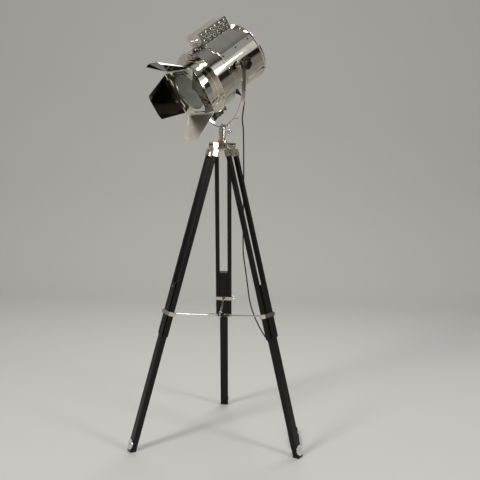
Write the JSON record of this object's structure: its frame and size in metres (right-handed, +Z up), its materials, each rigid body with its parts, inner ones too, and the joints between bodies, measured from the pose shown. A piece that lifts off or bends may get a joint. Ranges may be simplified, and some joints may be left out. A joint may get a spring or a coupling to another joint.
{
  "type": "tripod spotlight floor lamp",
  "caption": "Cylindrical metal spotlight with barn doors on a yoke, standing on a folding wooden tripod.",
  "frame": {"origin": "on the floor, on the axis of the tripod", "axes": "+Z up, +Y towards the rear leg, the lamp faces 40 degrees from -X towards -Y and down"},
  "size_m": [0.6556, 0.6439, 1.608],
  "materials": {
    "black_wood": "black satin lacquer",
    "cast_nickel": "satin nickel on a casting",
    "polished_nickel": "polished nickel",
    "polished_sheet": "polished",
    "chrome_steel": "polished",
    "dark_metal": "dark satin",
    "dark_sheet": "dark satin outside, bright inside",
    "frosted_glass": "frosted",
    "lamp_glass": "frosted bulb",
    "black_rubber": "matte"
  },
  "bodies": {
    "tripod_head": {"head_plate": "cast_nickel", "neck_socket": "cast_nickel"},
    "rear_leg": {"rear_rails": "black_wood", "rear_leg_cap": "cast_nickel", "rear_hinge_pins": "chrome_steel", "rear_strap_clamp": "cast_nickel"},
    "rear_lower": {"rear_lower_leg": "black_wood", "rear_foot_fittings": "chrome_steel"},
    "rear_wing": {"rear_wing_screw": "cast_nickel"},
    "rear_strut_arm": {"rear_strut": "chrome_steel"},
    "right_leg": {"right_rails": "black_wood", "right_leg_cap": "cast_nickel", "right_hinge_pins": "chrome_steel", "right_strap_clamp": "cast_nickel", "rail_cord_clip": "cast_nickel", "cord_lower": "black_rubber", "cord_hank": "black_rubber", "plug": "black_rubber"},
    "right_lower": {"right_lower_leg": "black_wood", "right_foot_fittings": "chrome_steel", "foot_cord_clip": "cast_nickel"},
    "right_wing": {"right_wing_screw": "cast_nickel"},
    "right_strut_arm": {"right_strut": "chrome_steel"},
    "left_leg": {"left_rails": "black_wood", "left_leg_cap": "cast_nickel", "left_hinge_pins": "chrome_steel", "left_strap_clamp": "cast_nickel"},
    "left_lower": {"left_lower_leg": "black_wood", "left_foot_fittings": "chrome_steel"},
    "left_wing": {"left_wing_screw": "cast_nickel"},
    "left_strut_arm": {"left_strut": "chrome_steel"},
    "hub": {"spreader_hub": "chrome_steel"},
    "socket_screw_body": {"socket_screw": "chrome_steel"},
    "yoke_body": {"yoke_post": "chrome_steel", "yoke": "polished_nickel", "cord_middle": "black_rubber"},
    "head": {"housing_shell": "polished_sheet", "rear_cover": "polished_sheet", "front_ring": "polished_sheet", "vent_box": "polished_nickel", "side_strips": "polished_sheet", "head_fasteners": "chrome_steel", "lamp_holder": "dark_metal", "bulb": "lamp_glass", "reflector": "polished_sheet", "cord_gland": "black_rubber", "cord_upper": "black_rubber"},
    "near_knob": {"near_tilt_knob": "dark_metal"},
    "far_knob": {"far_tilt_knob": "dark_metal"},
    "front_door_body": {"front_door": "polished_sheet", "lens_tube": "polished_sheet", "lens_glass": "frosted_glass", "lens_ring": "polished_nickel"},
    "latch": {"latch_knob": "dark_metal"},
    "barn_frame_body": {"barn_frame": "polished_nickel", "barn_frame_fasteners": "chrome_steel"},
    "top_door": {"top_barn_door": "dark_sheet"},
    "right_door": {"right_barn_door": "dark_sheet"},
    "bottom_door": {"bottom_barn_door": "dark_sheet"},
    "left_door": {"left_barn_door": "dark_sheet"}
  },
  "joints": [
    {"name": "rear_leg_fold", "type": "hinge", "parent": "tripod_head", "child": "rear_leg", "pos_m": [0, 0.0367, 1.135], "axis": [-1, 0, 0], "range_deg": [0, 5.4]},
    {"name": "rear_strut_swing", "type": "hinge", "parent": "rear_leg", "child": "rear_strut_arm", "pos_m": [0, 0.19412, 0.50818], "axis": [-1, 0, 0], "range_deg": [-47.6, 0]},
    {"name": "rear_leg_slide", "type": "slide", "parent": "rear_leg", "child": "rear_lower", "axis": [0, 0.2723, -0.9622], "range_m": [-0.4, 0.07]},
    {"name": "rear_wing_turn", "type": "hinge", "parent": "rear_leg", "child": "rear_wing", "pos_m": [0.035, 0.21259, 0.51341], "axis": [1, 0, 0], "continuous": true},
    {"name": "right_leg_fold", "type": "hinge", "parent": "tripod_head", "child": "right_leg", "pos_m": [0.03178, -0.01835, 1.135], "axis": [0.5, 0.866, 0], "range_deg": [0, 5.4], "deforming": ["cord_lower"]},
    {"name": "right_strut_swing", "type": "hinge", "parent": "right_leg", "child": "right_strut_arm", "pos_m": [0.16811, -0.09706, 0.50818], "axis": [0.5, 0.866, 0], "range_deg": [-47.6, 0]},
    {"name": "right_leg_slide", "type": "slide", "parent": "right_leg", "child": "right_lower", "axis": [0.2358, -0.1361, -0.9622], "range_m": [-0.4, 0.07]},
    {"name": "right_wing_turn", "type": "hinge", "parent": "right_leg", "child": "right_wing", "pos_m": [0.20161, -0.07599, 0.51341], "axis": [0.5, 0.866, 0], "continuous": true},
    {"name": "left_leg_fold", "type": "hinge", "parent": "tripod_head", "child": "left_leg", "pos_m": [-0.03178, -0.01835, 1.135], "axis": [0.5, -0.866, 0], "range_deg": [0, 5.4]},
    {"name": "left_strut_swing", "type": "hinge", "parent": "left_leg", "child": "left_strut_arm", "pos_m": [-0.16811, -0.09706, 0.50818], "axis": [0.5, -0.866, 0], "range_deg": [-47.6, 0]},
    {"name": "left_leg_slide", "type": "slide", "parent": "left_leg", "child": "left_lower", "axis": [-0.2358, -0.1361, -0.9622], "range_m": [-0.4, 0.07]},
    {"name": "left_wing_turn", "type": "hinge", "parent": "left_leg", "child": "left_wing", "pos_m": [-0.20161, -0.07599, 0.51341], "axis": [-0.5, 0.866, 0], "continuous": true},
    {"name": "hub_slide", "type": "slide", "parent": "tripod_head", "child": "hub", "axis": [0, 0, 1], "range_m": [-0.1255, 0]},
    {"name": "socket_screw_turn", "type": "hinge", "parent": "tripod_head", "child": "socket_screw_body", "pos_m": [0.02, 0, 1.19], "axis": [1, 0, 0], "continuous": true},
    {"name": "pan", "type": "hinge", "parent": "tripod_head", "child": "yoke_body", "pos_m": [0, 0, 1.19], "axis": [0, 0, 1], "range_deg": [-160, 160], "deforming": ["cord_middle"]},
    {"name": "tilt", "type": "hinge", "parent": "yoke_body", "child": "head", "pos_m": [0, 0, 1.43], "axis": [0.6428, -0.766, 0], "range_deg": [-90, 10], "deforming": ["cord_upper"]},
    {"name": "near_knob_turn", "type": "hinge", "parent": "yoke_body", "child": "near_knob", "pos_m": [0.08678, -0.10342, 1.43], "axis": [0.6428, -0.766, 0], "continuous": true},
    {"name": "far_knob_turn", "type": "hinge", "parent": "yoke_body", "child": "far_knob", "pos_m": [-0.08678, 0.10342, 1.43], "axis": [-0.6428, 0.766, 0], "continuous": true},
    {"name": "front_door_swing", "type": "hinge", "parent": "head", "child": "front_door_body", "pos_m": [-0.09569, -0.08029, 1.49522], "axis": [-0.6428, 0.766, 0], "range_deg": [0, 85]},
    {"name": "latch_turn", "type": "hinge", "parent": "front_door_body", "child": "latch", "pos_m": [-0.03316, 0.0035, 1.243], "axis": [-0.6313, -0.5297, -0.5664], "continuous": true},
    {"name": "barn_frame_turn", "type": "hinge", "parent": "front_door_body", "child": "barn_frame_body", "pos_m": [-0.11427, -0.09588, 1.32748], "axis": [-0.6313, -0.5297, -0.5664], "continuous": true},
    {"name": "top_door_swing", "type": "hinge", "parent": "barn_frame_body", "child": "top_door", "pos_m": [-0.15475, -0.12985, 1.40207], "axis": [-0.6428, 0.766, 0], "range_deg": [-52, 53]},
    {"name": "right_door_swing", "type": "hinge", "parent": "barn_frame_body", "child": "right_door", "pos_m": [-0.05634, -0.16659, 1.32674], "axis": [-0.4339, -0.3641, 0.8241], "range_deg": [-55, 50]},
    {"name": "bottom_door_swing", "type": "hinge", "parent": "barn_frame_body", "child": "bottom_door", "pos_m": [-0.07543, -0.06329, 1.25142], "axis": [0.6428, -0.766, 0], "range_deg": [-46, 59]},
    {"name": "left_door_swing", "type": "hinge", "parent": "barn_frame_body", "child": "left_door", "pos_m": [-0.17384, -0.02655, 1.32674], "axis": [0.4339, 0.3641, -0.8241], "range_deg": [-22, 83]}
  ],
  "couplings": [
    {"joint": "rear_strut_swing", "follows": "rear_leg_fold", "ratio": -8.8},
    {"joint": "right_leg_fold", "follows": "rear_leg_fold", "ratio": 1},
    {"joint": "right_strut_swing", "follows": "rear_leg_fold", "ratio": -8.8},
    {"joint": "left_leg_fold", "follows": "rear_leg_fold", "ratio": 1},
    {"joint": "left_strut_swing", "follows": "rear_leg_fold", "ratio": -8.8},
    {"joint": "hub_slide", "follows": "rear_leg_fold", "m_per_rad": -1.33}
  ]
}
